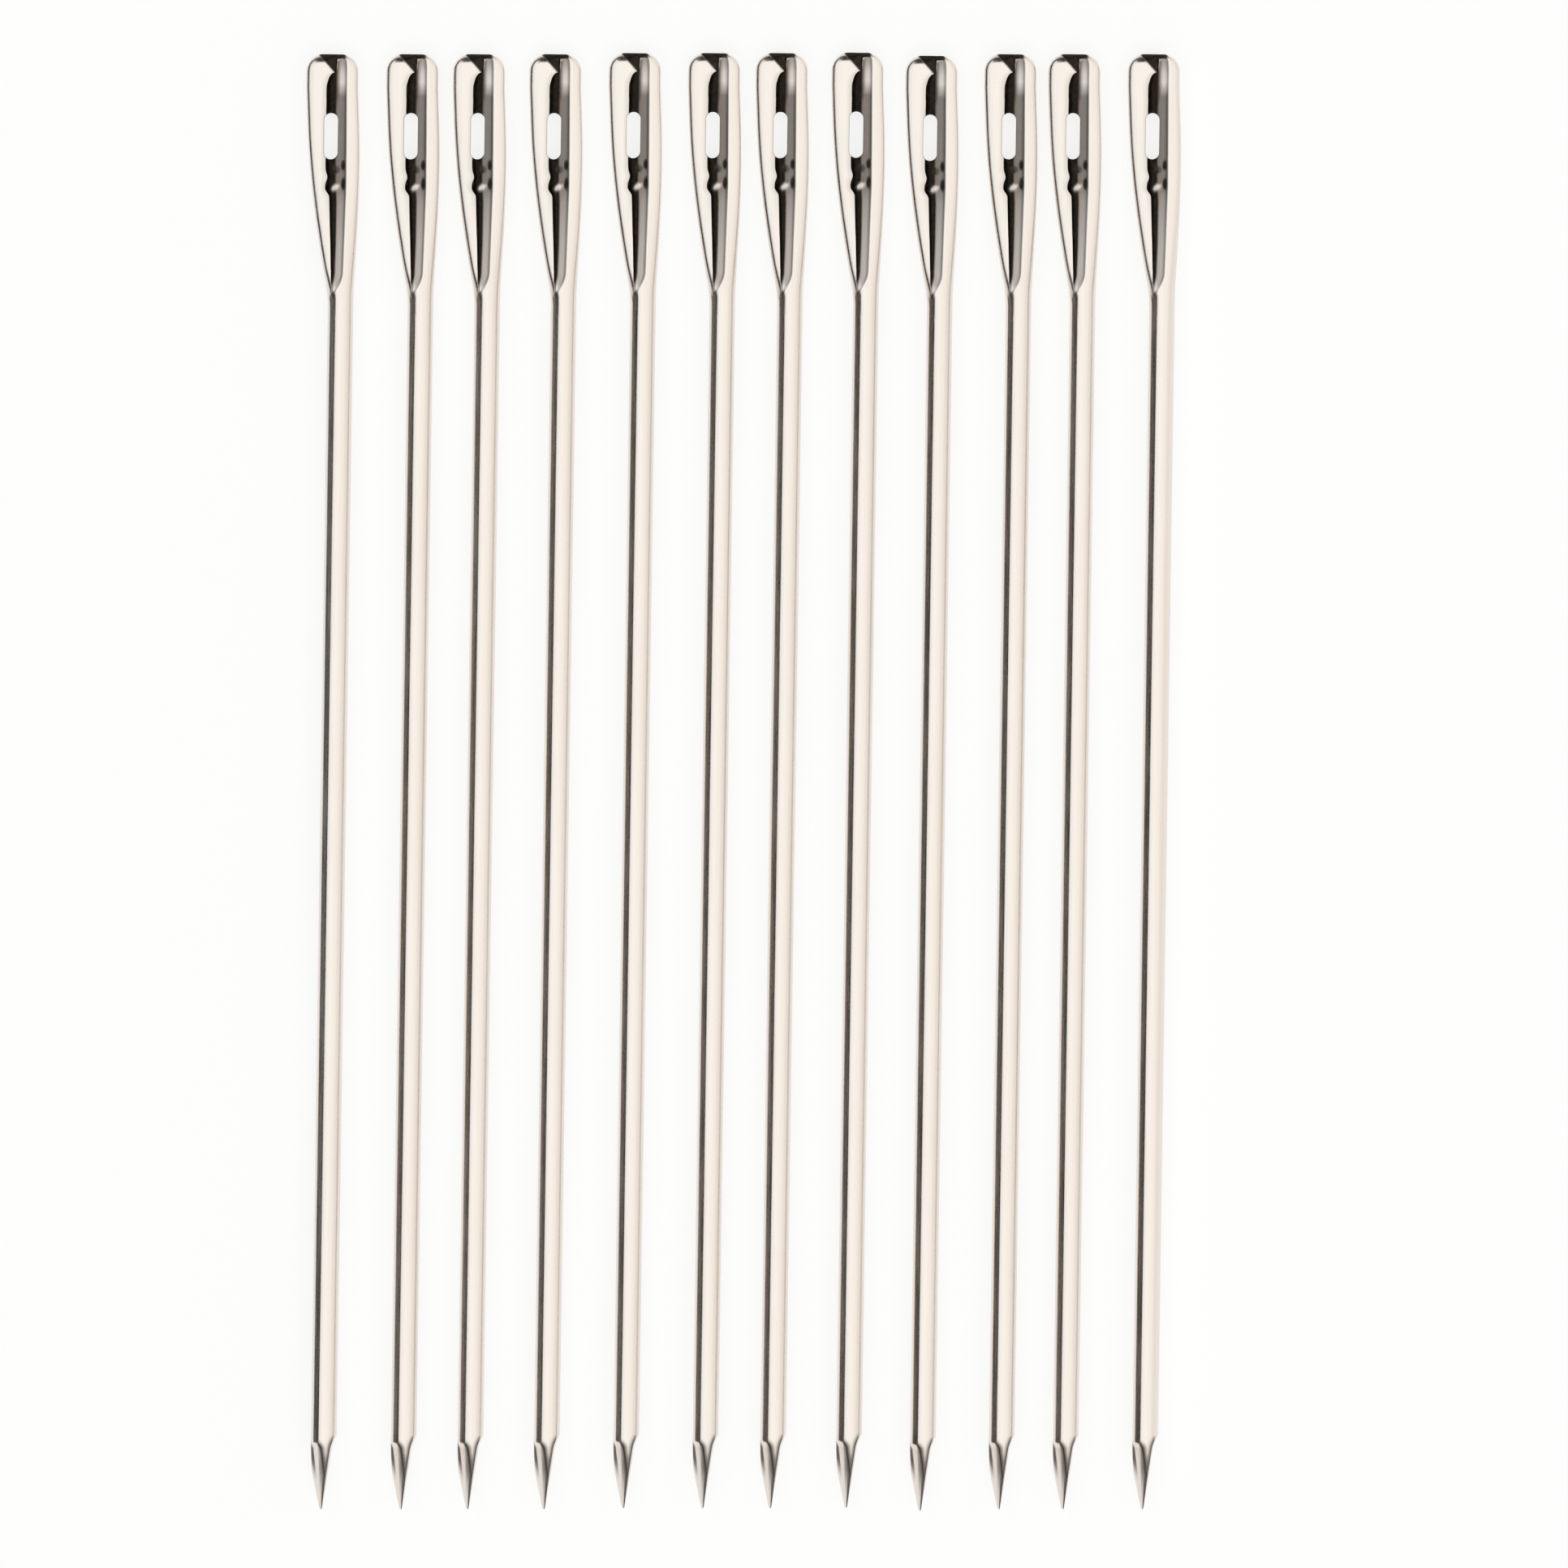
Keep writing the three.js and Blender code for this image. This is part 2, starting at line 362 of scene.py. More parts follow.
def stamped_height(across, down):
    """The height of the gutter's surface without the marks below the eye."""
    left, ridge, right = gutter_lines(down)
    ridge_depth = RIDGE_DEPTH * (1 - smooth(down, RIDGE_DEPTH_TO, GUTTER_END))
    ridge_height = plain_height(ridge, down) - ridge_depth
    right_height = plain_height(right, down)
    rise = right_height - ridge_height
    wide = right - ridge
    bend = LIP_SLOPE * wide - rise
    start = bend - rise
    slope = ridge_height - DEEP_SLOPE * (ridge - across)
    part = (across - ridge) / wide
    trough = ridge_height - start * part + bend * part * part * (part > 0)
    height = smaller(slope, trough, RIDGE_ROUND)
    return max(height, plain_height(left, down) + WALL_SLOPE * (left - across))


MARK_TOPS = [
    stamped_height(side, down) + math.copysign(MARK_RISE, shade_lift)
    for down, side, _, _, shade_lift, _ in STAMP_MARKS
]


def gutter_height(across, down):
    """The height of the stamped surface, and its painted shade from 0 to 1."""
    _, ridge, right = gutter_lines(down)
    height = stamped_height(across, down)
    # Painted shade: some in the trough, more on its lip, and full on the deep slope past the ridge
    outer, inner = LIP_DARK_WIDTH
    lip = LIP_DARK * smooth(across, right - outer, right - inner)
    trough = min(1.0, along_line(down, *TROUGH_DARK) + lip)
    soft = mix(*RIDGE_DARK_WIDTH, smooth(down, *RIDGE_DARK_DOWN))
    dark = mix(trough, 1.0, smooth(across, ridge + soft, ridge - RIDGE_DARK_INSIDE))
    for top, (place, side, long, broad, shade_lift, lean) in zip(MARK_TOPS, STAMP_MARKS):
        beside = across - side
        near = ((down - place + lean * beside) / long) ** 2 + (beside / broad) ** 2
        mark = math.exp(-near * near * MARK_EDGE)
        height = mix(height, top, mark)
        # The lumps get painted highlight that lifts the gutter's painted shade, and the pits get
        # more painted shade
        dark = min(1.0, max(0.0, dark - shade_lift * mark))
    return height, dark


def beyond_nose_edge(across, down):
    """How far a place lies beyond the nose's edge, towards the top end."""
    way, back = NOSE_WAY
    return (across - NOSE_START[0]) * back - (down - NOSE_START[1]) * way


def nose_height(across, down):
    """The height of the flat on the nose. It fades out over the slot."""
    surface = plain_height(across, down)
    sloped = surface - NOSE_SLOPE * beyond_nose_edge(across, down)
    cut = smaller(surface + NOSE_ABOVE, sloped, NOSE_ROUND)
    return mix(cut, surface + NOSE_ABOVE_SLOT, smooth(across, SLOT_LEFT, SLOT_LEFT + NOSE_FADE))


def cut_end_painted_shade(across, down):
    """How much painted shade lies on the cut nose and top end here."""
    ridge = RIDGE[0][1]
    nose = smooth(beyond_nose_edge(across, down), *NOSE_DARK)
    nose *= smooth(across, ridge + CUT_END_SOFT, ridge)
    nose *= smooth(across, *CUT_END_LEFT)
    end = smooth(down, *CUT_END_DOWN)
    end *= smooth(across, *CUT_END_RIGHT)
    end *= smooth(across, ridge - CUT_END_SOFT, ridge)
    return max(nose, end)


def eye_middle():
    return head_middle(EYE_DISTANCE) - EYE_OFFSET


def past_straight(down):
    """How far this distance lies in one of the eye's two round ends, or beyond it."""
    return max(0.0, abs(down - EYE_DISTANCE) - EYE_STRAIGHT)


def eye_half_width(down):
    """Half the eye's width at this distance, 0 above and below the eye."""
    past = past_straight(down)
    return math.sqrt(max(0.0, (EYE_WIDTH / 2) ** 2 - past * past))


def from_eye(across, down):
    """The distance from a place on the head to the edge of the eye, never below 0."""
    return max(0.0, math.hypot(across - eye_middle(), past_straight(down)) - EYE_WIDTH / 2)


def face_height(across, down):
    """The height of the head's upper face above the shank's axis, and how much painted shade it
    has.
    """
    height = oval(across, down)
    dark = 0.0
    if down < NOSE_END:
        height = smaller(height, nose_height(across, down), NOSE_ROUND)
        # Painted shade on the cut nose and top end
        dark = cut_end_painted_shade(across, down)
    if down < GUTTER_END:
        left = gutter_lines(down)[0]
        # Painted shade on the face's left strip, towards the gutter
        edge = CHEEK_EDGE_DARK * smooth(across, left - CHEEK_EDGE_WIDTH, left)
        edge *= across < left + CHEEK_EDGE_INSIDE
        dark = max(dark, edge * smooth(down, *CHEEK_EDGE_TOP) * smooth(down, *CHEEK_EDGE_LOW))
        stamped, gutter_shade = gutter_height(across, down)
        # Painted shade from the gutter, full where its surface lies deep below the face
        dark = max(dark, gutter_shade * share(height - stamped, 0.0, DARK_DEPTH))
        height = smaller(height, stamped, GUTTER_EDGE_ROUND)
    near = max(0.0, EYE_EDGE_ROUND - from_eye(across, down))
    if eye_half_width(down) or near:
        height -= EYE_EDGE_ROUND - math.sqrt(EYE_EDGE_ROUND**2 - near * near)
    return max(0.0, height), dark


def cheek_places(down, edge, count, side, squareness):
    """Where one side's columns stand: close together at the outline, evenly at the edge."""
    half_width, middle = head_section(down)[0], head_middle(down)
    part = min(1.0, side * (edge - middle) / half_width)
    turn = math.acos(max(0.0, part) ** (squareness / 2))
    places = []
    for step in (k / count for k in range(count)):
        rounded = math.cos(turn * step) ** (2 / squareness)
        places.append(middle + side * half_width * mix(rounded, mix(1.0, part, step), step))
    return places


def column_places(down):
    """Where the columns of the upper face stand, from the left side to the right side.

    The last column of the left block and the first of the right block follow the two sides
    of the eye, and fall together above and below it.
    """
    half_width, _, square_left, square_right = head_section(down)
    middle = head_middle(down)
    left, ridge, right = gutter_lines(down)
    beside = min(max(down, EYE_DISTANCE - EYE_LENGTH / 2), EYE_DISTANCE + EYE_LENGTH / 2)
    opening = eye_half_width(down)
    eye = eye_middle()
    if beside != down:
        away = smooth(abs(down - beside), 0, CLOSED_WITHIN)
        eye = mix(eye, mix(left, ridge, CLOSED_SHARE), away)

    left_edge = max(left - EDGE_SPACE, middle - GUTTER_SHARE * half_width)
    left_edge = min(left_edge, eye - opening - EDGE_SPACE)
    wall_count = HALF_RING - CHEEK_LEFT
    wall_shares = [(k / wall_count) ** WALL_POWER for k in range(wall_count + 1)]
    wall = [mix(left_edge, eye - opening, part) for part in wall_shares]

    right_edge = min(right + EDGE_SPACE, middle + GUTTER_SHARE * half_width)
    ridge_place = max(eye + opening + RIDGE_SPACE, ridge + RIDGE_SPACE)
    flank = [mix(eye + opening, ridge_place, k / BESIDE_EYE) for k in range(BESIDE_EYE)]
    trough_count = HALF_RING - CHEEK_RIGHT - BESIDE_EYE
    trough_shares = [k / trough_count for k in range(trough_count + 1)]
    trough = [mix(ridge_place, right_edge, part) for part in trough_shares]

    left_cheek = cheek_places(down, left_edge, CHEEK_LEFT, -1, square_left)
    right_cheek = cheek_places(down, right_edge, CHEEK_RIGHT, 1, square_right)
    return left_cheek + wall + flank + trough + right_cheek[::-1]


def round_angles():
    """The angles of the same columns, spread out evenly on the round wire."""
    step = math.pi / 2 / HALF_RING
    left = [math.pi - step * k for k in range(HALF_RING + 1)]
    return left + [math.pi / 2 - step * k for k in range(HALF_RING + 1)]


def head_ring(down):
    """The upper half of a ring of the head: (across, height, painted shade) for each column."""
    cut = smooth(down, *WIRE_FLAT_FROM)
    ring = []
    for across in column_places(down):
        height, stamped = face_height(across, down)
        flat = (WIRE_FLAT_PLACE - across * math.cos(WIRE_FLAT_TURN)) / math.sin(WIRE_FLAT_TURN)
        height = mix(height, max(0.0, smaller(height, flat, WIRE_FLAT_ROUND)), cut)
        ring.append((across, height, stamped))
    ring[0] = (ring[0][0], 0.0, ring[1][2])
    ring[-1] = (ring[-1][0], 0.0, 0.0)
    return ring


def flatten(reach, angle, middle=0.0, rise=0.0):
    """Cuts the wire's slight flats off its reach at an angle round the middle line."""
    for turn in (WIRE_FLAT_TURN, -WIRE_FLAT_TURN):
        lean = math.cos(angle - turn)
        if lean > WIRE_FLAT_REACH:
            place = WIRE_FLAT_PLACE - (middle * math.cos(turn) + rise * math.sin(turn))
            reach = smaller(reach, place / lean, WIRE_FLAT_ROUND)
    return reach


def shank_ring(down):
    """The upper half of a ring of the shank, whose columns spread out evenly below the neck."""
    spread = smooth(down, HEAD_NECK, HEAD_NECK + COLUMN_SPREAD)
    ring = []
    for across, even in zip(column_places(HEAD_NECK), round_angles()):
        turn = math.acos(min(1.0, max(-1.0, across / WIRE_RADIUS)))
        angle = mix(turn, even, spread)
        reach = flatten(WIRE_RADIUS, angle)
        ring.append((reach * math.cos(angle), reach * math.sin(angle), 0.0))
    return ring


def face_end(taper, run_out):
    """The distance from the tip at which a ground face has run out of the wire."""
    left = WIRE_RADIUS - POINT_BLUNT - taper * POINT_STRAIGHT
    return POINT_STRAIGHT + (math.sqrt(taper**2 + 4 * run_out * left) - taper) / (2 * run_out)


POINT_LENGTH = max(face_end(taper, run_out) for _, taper, run_out in POINT_FACES)


def point_place(angle, up):
    """A place on the point's surface, at an angle round its middle line, and how much painted
    shade it has.
    """
    off = 1 - share(up, 0, POINT_LENGTH)
    middle, rise = -TIP_SHIFT * off, TIP_RISE * off
    cos, sin = math.cos(angle), math.sin(angle)
    half_chord = math.sqrt(WIRE_RADIUS**2 - (rise * cos - middle * sin) ** 2)
    reach = flatten(half_chord - middle * cos - rise * sin, angle, middle, rise)
    surfaces = [(reach, 1.0)]
    tip = math.sqrt(1 - TIP_CLOSE * (1 - share(up, 0, TIP_ROUND)) ** 2)
    soft = POINT_EDGE_ROUND * share(up, 0, POINT_EDGE_FULL) + POINT_EDGE_LEAST
    for turn, taper, run_out in POINT_FACES:
        lean = math.cos(angle - math.radians(turn))
        if lean > POINT_FACE_REACH:
            out = run_out * max(0.0, up - POINT_STRAIGHT) ** 2
            face = tip * (POINT_BLUNT + taper * up + out) / lean**POINT_CROWN
            surfaces.append((face, lean))
            reach = smaller(reach, face, soft)

    surfaces.sort()
    from_edge = min((far - surfaces[0][0]) * lean for far, lean in surfaces[1:])
    # Painted shade along the ground faces' upper edges
    width = mix(*GROUND_EDGE, smooth(up, *GROUND_EDGE_UP))
    dark = GROUND_EDGE_DARK * math.exp(-((from_edge / width) ** 2))
    turned = math.degrees(angle)
    dark *= smooth(turned, *GROUND_EDGE_LEFT) * smooth(turned, *GROUND_EDGE_RIGHT)
    # A line of painted shade along the point's left side
    line = SIDE_LINE_DARK * smooth(cos, *SIDE_LINE) * smooth(up, *SIDE_LINE_UP)
    line *= smooth(up, *SIDE_LINE_TOP)
    return middle + reach * cos, rise + reach * sin, max(dark, line)


def point_rings(up):
    """The upper and lower halves of a ring of the point, which differ from each other."""
    return [[point_place(side * angle, up) for angle in round_angles()] for side in (1, -1)]


def stations():
    """The distances down from the top at which the needle has a ring, and the eye's two ends."""
    crown_part = [CROWN_LENGTH * (k / CROWN_RINGS) ** CROWN_RING_POWER for k in range(CROWN_RINGS)]
    corner_end = GUTTER_CORNER[1]
    corner_part = [mix(CROWN_LENGTH, corner_end, k / CORNER_RINGS) for k in range(CORNER_RINGS)]
    head_part = [mix(corner_end, HEAD_NECK, k / HEAD_RINGS) for k in range(HEAD_RINGS + 1)]
    eye_part = []
    for side in (-1, 1):
        for k in range(EYE_RINGS + 1):
            past = EYE_WIDTH / 2 * math.sin(math.pi / 2 * k / EYE_RINGS)
            eye_part.append(EYE_DISTANCE + side * (EYE_STRAIGHT + past))
    kept = [d for d in head_part if not any(abs(d - e) < RING_SPACE for e in eye_part)]

    spread_end, shank_end = HEAD_NECK + COLUMN_SPREAD, LENGTH - POINT_LENGTH
    straight, tip = LENGTH - POINT_STRAIGHT, LENGTH - TIP_ROUND
    lower_part = []
    for start, end, count in (
        (HEAD_NECK, spread_end, NECK_RINGS),
        (spread_end, shank_end, SHANK_RINGS),
        (shank_end, straight, RUN_OUT_RINGS),
        (straight, tip, POINT_RINGS),
    ):
        lower_part += [mix(start, end, k / count) for k in range(1, count + 1)]
    lower_part += [LENGTH - TIP_ROUND * (1 - k / TIP_RINGS) ** 2 for k in range(1, TIP_RINGS + 1)]
    upper_part = sorted(crown_part + corner_part + kept + eye_part)
    return upper_part + lower_part, (min(eye_part), max(eye_part))


def needle_mesh(name):
    """One needle as a closed mesh in its own place: top at y = LENGTH, axis along y."""
    downs, (eye_low, eye_high) = stations()
    verts, stamped, faces = [], [], []
    columns = 2 * (HALF_RING + 1)
    for down in downs:
        if down > LENGTH - POINT_LENGTH + SAME_DISTANCE:
            upper, lower = point_rings(LENGTH - down)
        else:
            upper = head_ring(down) if down <= HEAD_NECK else shank_ring(down)
            lower = [(x, -z, s) for x, z, s in upper]
        for x, z, s in upper + lower:
            verts.append((x * MM, (LENGTH - down) * MM, z * MM))
            stamped.append(s)

    def at(ring, half, column):
        return (ring * 2 + half) * columns + column

    # The eye lies between the last column of the left block and the first of the right block
    eye_column = HALF_RING
    for ring in range(len(downs) - 1):
        for column in range(columns - 1):
            if column == eye_column:
                continue
            for half in (0, 1):
                a, b = at(ring, half, column), at(ring, half, column + 1)
                c, d = at(ring + 1, half, column + 1), at(ring + 1, half, column)
                faces.append((a, d, c, b) if half == 0 else (a, b, c, d))
        middle = (downs[ring] + downs[ring + 1]) / 2
        if eye_low < middle < eye_high:
            for column, turned in ((eye_column, False), (eye_column + 1, True)):
                a, b = at(ring, 0, column), at(ring, 1, column)
                c, d = at(ring + 1, 1, column), at(ring + 1, 0, column)
                faces.append((a, b, c, d) if turned else (a, d, c, b))
    for ring, turned in ((0, False), (len(downs) - 1, True)):
        for column in range(columns - 1):
            if column == eye_column:
                continue
            a, b = at(ring, 0, column), at(ring, 0, column + 1)
            c, d = at(ring, 1, column + 1), at(ring, 1, column)
            faces.append((d, c, b, a) if turned else (a, b, c, d))

    mesh = bpy.data.meshes.new(name)
    mesh.from_pydata(verts, [], faces)
    # The stamped attribute carries the painted shade of each corner to the material
    painted_shade = mesh.attributes.new("stamped", "FLOAT", "POINT")
    painted_shade.data.foreach_set("value", stamped)
    return clean(mesh)


# In metres: how near two corners are one, and how short an edge is none
SAME_PLACE = 2e-7
NO_LENGTH = 1e-8
SHARP_ANGLE = math.radians(38)


def clean(mesh):
    """Joins the columns and rows that fall together, and turns every face outwards."""
    work = bmesh.new()
    work.from_mesh(mesh)
    bmesh.ops.remove_doubles(work, verts=work.verts, dist=SAME_PLACE)
    bmesh.ops.dissolve_degenerate(work, edges=work.edges, dist=NO_LENGTH)
    bmesh.ops.recalc_face_normals(work, faces=work.faces)
    work.to_mesh(mesh)
    work.free()
    mesh.shade_smooth()
    mesh.set_sharp_from_angle(angle=SHARP_ANGLE)
    return mesh


def colour(code):
    """An sRGB hex colour as linear red, green, blue and alpha."""
    parts = [int(code[k : k + 2], 16) / 255 for k in (1, 3, 5)]
    return [c / 12.92 if c <= 0.04045 else ((c + 0.055) / 1.055) ** 2.4 for c in parts] + [1.0]


def add(tree, kind, inputs=None, **settings):
    """Adds a node with its settings. Each input is given a value or joined to a socket."""
    node = tree.nodes.new(kind)
    for name, value in settings.items():
        setattr(node, name, value)
    for name, value in (inputs or {}).items():
        if isinstance(value, bpy.types.NodeSocket):
            tree.links.new(value, node.inputs[name])
        else:
            node.inputs[name].default_value = value
    return node


def new_material(name):
    material = bpy.data.materials.new(name)
    material.use_nodes = True
    material.node_tree.nodes.clear()
    return material, material.node_tree


PLATE_BRIGHT = "#ECE5DE"
PLATE_WARM = "#E9E0D7"
# The dark and grey of the painted shade, mottled together
PAINTED_SHADE_DARK = "#1C1712"
PAINTED_SHADE_GREY = "#4B433A"

# Scales of the finish for each metre. A polishing mark is 0.11 mm wide, coarser than a real one
# so that it shows, and 2.8 mm long. The plate's tone drifts over 6 mm, and the pits that the
# stamping leaves are 0.2 mm wide.
POLISH_MARKS = 9000.0
POLISH_STRETCH = 0.04
TONE_PATCHES = 160.0
STAMPED_PITS = 5200.0
PLATE_ROUGHNESS = (0.22, 0.31)
STAMPED_ROUGHER = 0.22


def nickel_plated_steel():
    """Bright nickel plate over drawn and polished steel wire: a mirror with a warm cream tone.

    The polish runs along the wire and leaves fine lengthwise marks. The gutter is stamped
    after polishing, so it is duller the deeper the tool has pressed. The stamped attribute
    paints shade into the colour, in the gutter and on the top end and the point.
    """
    material, tree = new_material("bright_nickel_plated_steel")
    place = add(tree, "ShaderNodeTexCoord").outputs["Object"]
    along_wire = {"Vector": place, "Scale": (1.0, POLISH_STRETCH, 1.0)}
    stretched = add(tree, "ShaderNodeMapping", along_wire)
    marks = add(
        tree,
        "ShaderNodeTexNoise",
        {
            "Vector": stretched.outputs["Vector"],
            "Scale": POLISH_MARKS,
            "Detail": 3.0,
            "Roughness": 0.6,
        },
    )
    patches = add(
        tree,
        "ShaderNodeTexNoise",
        {"Vector": place, "Scale": TONE_PATCHES, "Detail": 2.0},
    )
    tone = add(
        tree,
        "ShaderNodeMix",
        {"Factor": patches.outputs["Fac"], "A": colour(PLATE_BRIGHT), "B": colour(PLATE_WARM)},
        data_type="RGBA",
    )
    # How much painted shade lies here, from the stamped attribute
    painted_shade = add(tree, "ShaderNodeAttribute", attribute_name="stamped").outputs["Fac"]
    pits = add(
        tree,
        "ShaderNodeTexNoise",
        {"Vector": place, "Scale": STAMPED_PITS, "Detail": 4.0},
    )
    # The painted shade's colour
    stamped = add(
        tree,
        "ShaderNodeMix",
        {"Factor": pits.outputs["Fac"], "A": colour(PAINTED_SHADE_DARK), "B": colour(PAINTED_SHADE_GREY)},
        data_type="RGBA",
    )
    base = add(
        tree,
        "ShaderNodeMix",
        {"Factor": painted_shade, "A": tone.outputs["Result"], "B": stamped.outputs["Result"]},
        data_type="RGBA",
    )
    dullness = add(
        tree,
        "ShaderNodeMapRange",
        {
            "Value": marks.outputs["Fac"],
            "From Min": 0.3,
            "From Max": 0.7,
            "To Min": PLATE_ROUGHNESS[0],
            "To Max": PLATE_ROUGHNESS[1],
        },
    )
    rough = add(
        tree,
        "ShaderNodeMath",
        {0: painted_shade, 1: STAMPED_ROUGHER, 2: dullness.outputs["Result"]},
        operation="MULTIPLY_ADD",
    )
    bump = add(
        tree,
        "ShaderNodeBump",
        {"Height": marks.outputs["Fac"], "Strength": 0.05, "Distance": 0.01 * MM},
    )
    shader = add(
        tree,
        "ShaderNodeBsdfPrincipled",
        {
            "Base Color": base.outputs["Result"],
            "Metallic": 1.0,
            "Roughness": rough.outputs["Value"],
            "Normal": bump.outputs["Normal"],
        },
    )
    add(tree, "ShaderNodeOutputMaterial", {"Surface": shader.outputs["BSDF"]})
    return material


def laying_tree():
    """Geometry Nodes that lay one needle in the row, and give it its finish."""
    tree = bpy.data.node_groups.new("lay_needle_in_row", "GeometryNodeTree")
    sockets = {}
    for name, kind in (
        ("Geometry", "NodeSocketGeometry"),
        ("Place", "NodeSocketVector"),
        ("Lean", "NodeSocketFloat"),
        ("Finish", "NodeSocketMaterial"),
    ):
        socket = tree.interface.new_socket(name, in_out="INPUT", socket_type=kind)
        sockets[name] = socket.identifier
    tree.interface.new_socket("Geometry", in_out="OUTPUT", socket_type="NodeSocketGeometry")
    given = add(tree, "NodeGroupInput").outputs
    turn = add(tree, "ShaderNodeCombineXYZ", {"Z": given["Lean"]})
    point = add(tree, "GeometryNodePoints", {"Count": 1, "Position": given["Place"]})
    laid = add(
        tree,
        "GeometryNodeInstanceOnPoints",
        {
            "Points": point.outputs["Points"],
            "Instance": given["Geometry"],
            "Rotation": turn.outputs["Vector"],
        },
    )
    real = add(tree, "GeometryNodeRealizeInstances", {"Geometry": laid.outputs["Instances"]})
    finished = add(
        tree,
        "GeometryNodeSetMaterial",
        {"Geometry": real.outputs["Geometry"], "Material": given["Finish"]},
    )
    add(tree, "NodeGroupOutput", {"Geometry": finished.outputs["Geometry"]})
    return tree, sockets


def lean_box(mesh):
    """The lowest and highest corners of a needle once it leans in the row, axis at the origin."""
    cos, sin = math.cos(ROW_LEAN), math.sin(ROW_LEAN)
    across = [v.co.x * cos + v.co.y * sin for v in mesh.vertices]
    along = [v.co.y * cos - v.co.x * sin for v in mesh.vertices]
    return Vector((min(across), min(along), 0)), Vector((max(across), max(along), 0))


def build_needles(finish):
    """One finished piece for each node of the frame, in the place that the frame gives it."""
    shape = needle_mesh("needle_shape")
    tree, sockets = laying_tree()
    low, high = lean_box(shape)
    for node in NEEDLES:
        node_low, node_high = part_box(node)
        place = (node_low + node_high) / 2 - (low + high) / 2
        place.z = node_low.z + WIRE_RADIUS * MM
        draft = bpy.data.objects.new("draft", shape)
        bpy.context.collection.objects.link(draft)
        laying = draft.modifiers.new("lay", "NODES")
        laying.node_group = tree
        laying[sockets["Place"]] = tuple(place)
        laying[sockets["Lean"]] = -ROW_LEAN
        laying[sockets["Finish"]] = finish
        bpy.context.view_layer.update()
        evaluated = draft.evaluated_get(bpy.context.evaluated_depsgraph_get())
        mesh = bpy.data.meshes.new_from_object(evaluated)
        bpy.data.objects.remove(draft)
        mesh.name = node
        piece = bpy.data.objects.new("plated_" + node, mesh)
        bpy.context.collection.objects.link(piece)
        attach(piece, "root")
        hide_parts(node)
    bpy.data.meshes.remove(shape)


# The photograph is square. One pixel is a share of a needle's length, and the middle of the
# row is at this place in the photograph.
PHOTO_SIZE = 1932
PHOTO_NEEDLE_LENGTH = 1793
PHOTO_ROW_MIDDLE = (916.3, 963.3)
LENS = 500.0
VIEW_END = 10


def photo_camera():
    """A long lens straight above the row."""
    pixel = LENGTH * MM / PHOTO_NEEDLE_LENGTH
    low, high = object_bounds()
    data = bpy.data.cameras.new("camera")
    data.lens = LENS
    data.clip_end = VIEW_END
    camera = bpy.data.objects.new("camera", data)
    bpy.context.collection.objects.link(camera)
    middle = (low + high) / 2
    aside = (PHOTO_SIZE / 2 - PHOTO_ROW_MIDDLE[0]) * pixel
    down = (PHOTO_SIZE / 2 - PHOTO_ROW_MIDDLE[1]) * pixel
    away = PHOTO_SIZE * pixel * LENS / data.sensor_width
    camera.location = (middle.x + aside, middle.y - down, middle.z + away)
    bpy.context.scene.camera = camera


def seen_by_camera(tree):
    """1 for rays that reach the camera or that a mirror or glass sends on, otherwise 0."""
    path = add(tree, "ShaderNodeLightPath")
    mirror = add(
        tree,
        "ShaderNodeMath",
        {0: path.outputs["Is Camera Ray"], 1: path.outputs["Is Glossy Ray"]},
        operation="MAXIMUM",
    )
    seen = add(
        tree,
        "ShaderNodeMath",
        {0: mirror.outputs["Value"], 1: path.outputs["Is Transmission Ray"]},
        operation="MAXIMUM",
    )
    return seen.outputs["Value"]


TABLE_TOP = "#828281"
FLOOR_HALF = 6.0
FLOOR_BELOW = 0.01
FLOOR_GLOW = 0.8


def white_floor():
    """A matt white table top. It is lifted to white where it is seen, and keeps its shadows."""
    material, tree = new_material("matt_white_table")
    matt = add(tree, "ShaderNodeBsdfDiffuse", {"Color": colour(TABLE_TOP)})
    strength = add(
        tree,
        "ShaderNodeMath",
        {0: seen_by_camera(tree), 1: FLOOR_GLOW},
        operation="MULTIPLY",
    )
    glow = add(tree, "ShaderNodeEmission", {"Strength": strength.outputs["Value"]})
    both = add(tree, "ShaderNodeAddShader", {0: matt.outputs["BSDF"], 1: glow.outputs["Emission"]})
    add(tree, "ShaderNodeOutputMaterial", {"Surface": both.outputs["Shader"]})
    corners = [
        (x * FLOOR_HALF, y * FLOOR_HALF, -FLOOR_BELOW * MM)
        for x, y in ((-1, -1), (1, -1), (1, 1), (-1, 1))
    ]
    mesh = bpy.data.meshes.new("floor")
    mesh.from_pydata(corners, [], [(0, 1, 2, 3)])
    mesh.materials.append(material)
    floor = bpy.data.objects.new("floor", mesh)
    bpy.context.collection.objects.link(floor)


# The studio, by the angle from straight overhead: negative to the left, positive to the right.
STUDIO = (
    (-180, "#F4F3F0"),
    (-91, "#F4F3F0"),
    (-89.5, "#181511"),
    (-56, "#181511"),
    (-46, "#FBFDFF"),
    (0, "#FFFFFD"),
    (25, "#FBF9F6"),
    (60, "#F5F2EF"),
    (90, "#EFEBE7"),
    (180, "#F4F3F0"),
)
STUDIO_LEVEL = 1.1

# The narrow dark flag beyond the eyes: its middle to the right of straight ahead, its half width,
# and its upper and lower edges as heights on the studio's dome of radius 1. Each edge is soft.
FAR_END = "#1B1713"
FAR_END_ASIDE = math.radians(8)
FAR_END_SIDES = (math.radians(38), math.radians(26))
FAR_END_TOP = (0.86, 0.78)
FAR_END_FOOT = (0.055, 0.07)


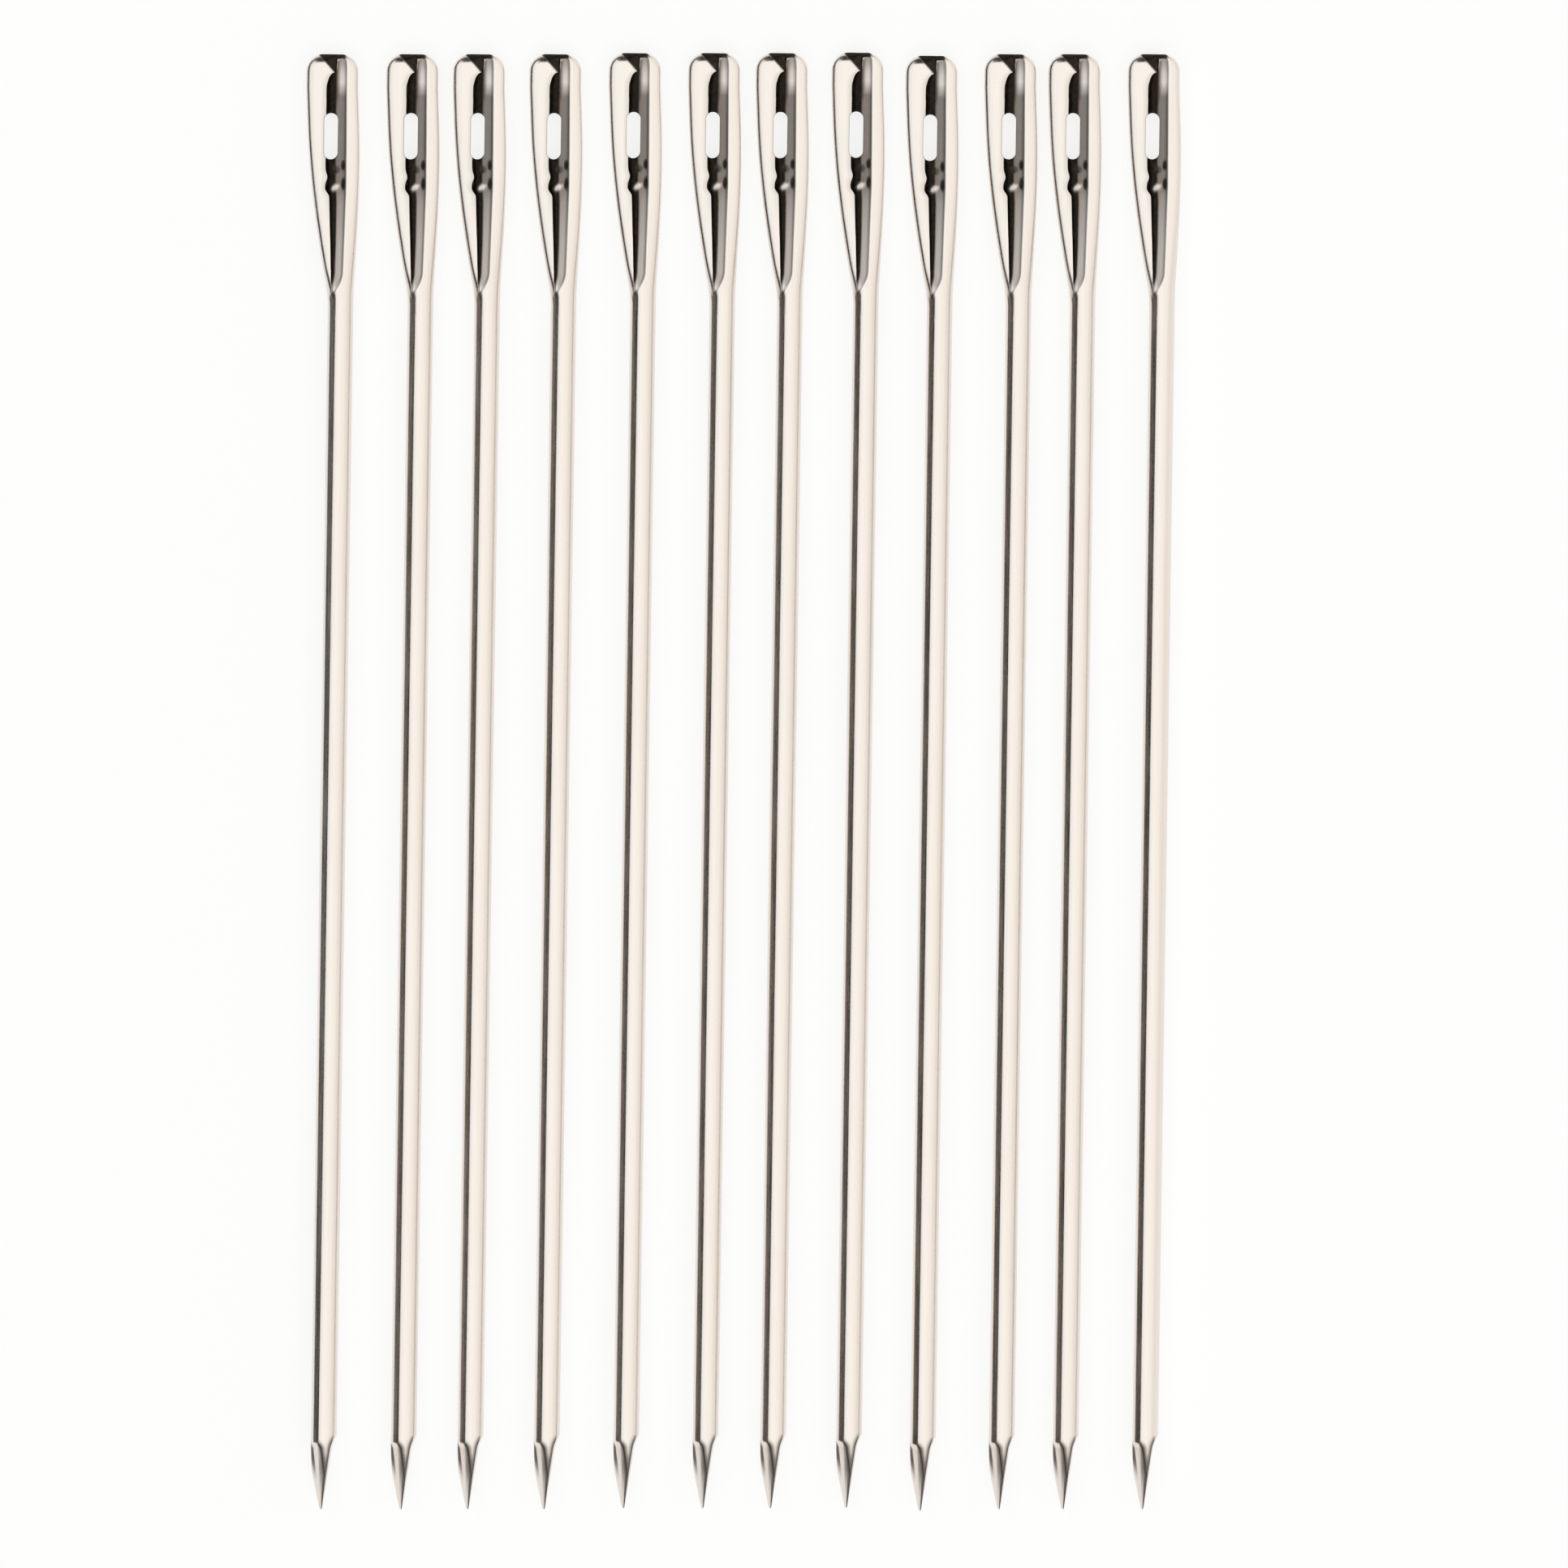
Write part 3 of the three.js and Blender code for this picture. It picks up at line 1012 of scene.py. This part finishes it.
def studio_world():
    """A white studio with a dark flag along its left side and a narrow one beyond the eyes."""
    world = bpy.data.worlds.new("studio")
    world.use_nodes = True
    tree = world.node_tree
    tree.nodes.clear()
    way = add(tree, "ShaderNodeTexCoord").outputs["Generated"]
    axes = add(tree, "ShaderNodeSeparateXYZ", {"Vector": way}).outputs
    tilt = add(tree, "ShaderNodeMath", {0: axes["X"], 1: axes["Z"]}, operation="ARCTAN2")
    turned = add(
        tree,
        "ShaderNodeMapRange",
        {"Value": tilt.outputs["Value"], "From Min": -math.pi, "From Max": math.pi},
    )
    ramp = add(tree, "ShaderNodeValToRGB", {"Fac": turned.outputs["Result"]})
    stops = ramp.color_ramp.elements
    while len(stops) < len(STUDIO):
        stops.new(0.5)
    for stop, (angle, code) in zip(stops, STUDIO):
        stop.position = (angle + 180) / 360
        stop.color = colour(code)

    aside = add(tree, "ShaderNodeMath", {0: axes["X"], 1: axes["Y"]}, operation="ARCTAN2")
    off = add(
        tree,
        "ShaderNodeMath",
        {0: aside.outputs["Value"], 1: FAR_END_ASIDE},
        operation="SUBTRACT",
    )
    away = add(tree, "ShaderNodeMath", {0: off.outputs["Value"]}, operation="ABSOLUTE")
    flag = 1.0
    for value, (start, full) in (
        (away.outputs["Value"], FAR_END_SIDES),
        (axes["Z"], FAR_END_TOP),
        (axes["Z"], FAR_END_FOOT),
    ):
        edge = add(
            tree,
            "ShaderNodeMapRange",
            {"Value": value, "From Min": start, "From Max": full},
            interpolation_type="SMOOTHSTEP",
        )
        inside = {0: edge.outputs["Result"], 1: flag}
        flag = add(tree, "ShaderNodeMath", inside, operation="MULTIPLY").outputs["Value"]
    sky = add(
        tree,
        "ShaderNodeMix",
        {"Factor": flag, "A": ramp.outputs["Color"], "B": colour(FAR_END)},
        data_type="RGBA",
    )
    light = add(
        tree,
        "ShaderNodeBackground",
        {"Color": sky.outputs["Result"], "Strength": STUDIO_LEVEL},
    )
    add(tree, "ShaderNodeOutputWorld", {"Surface": light.outputs["Background"]})
    bpy.context.scene.world = world


LAMP_POWER = 0.1
LAMP_SOFTNESS = math.radians(80)
LAMP_TURN = (math.radians(-8), math.radians(14), 0)


def soft_lamp():
    """A very soft lamp, a little to the right of overhead and towards the eyes."""
    data = bpy.data.lights.new("soft_lamp", "SUN")
    data.energy = LAMP_POWER
    data.angle = LAMP_SOFTNESS
    lamp = bpy.data.objects.new("soft_lamp", data)
    lamp.rotation_euler = LAMP_TURN
    bpy.context.collection.objects.link(lamp)


photo_camera()
white_floor()
studio_world()
soft_lamp()
build_needles(nickel_plated_steel())

bpy.context.scene.view_settings.view_transform = "Standard"
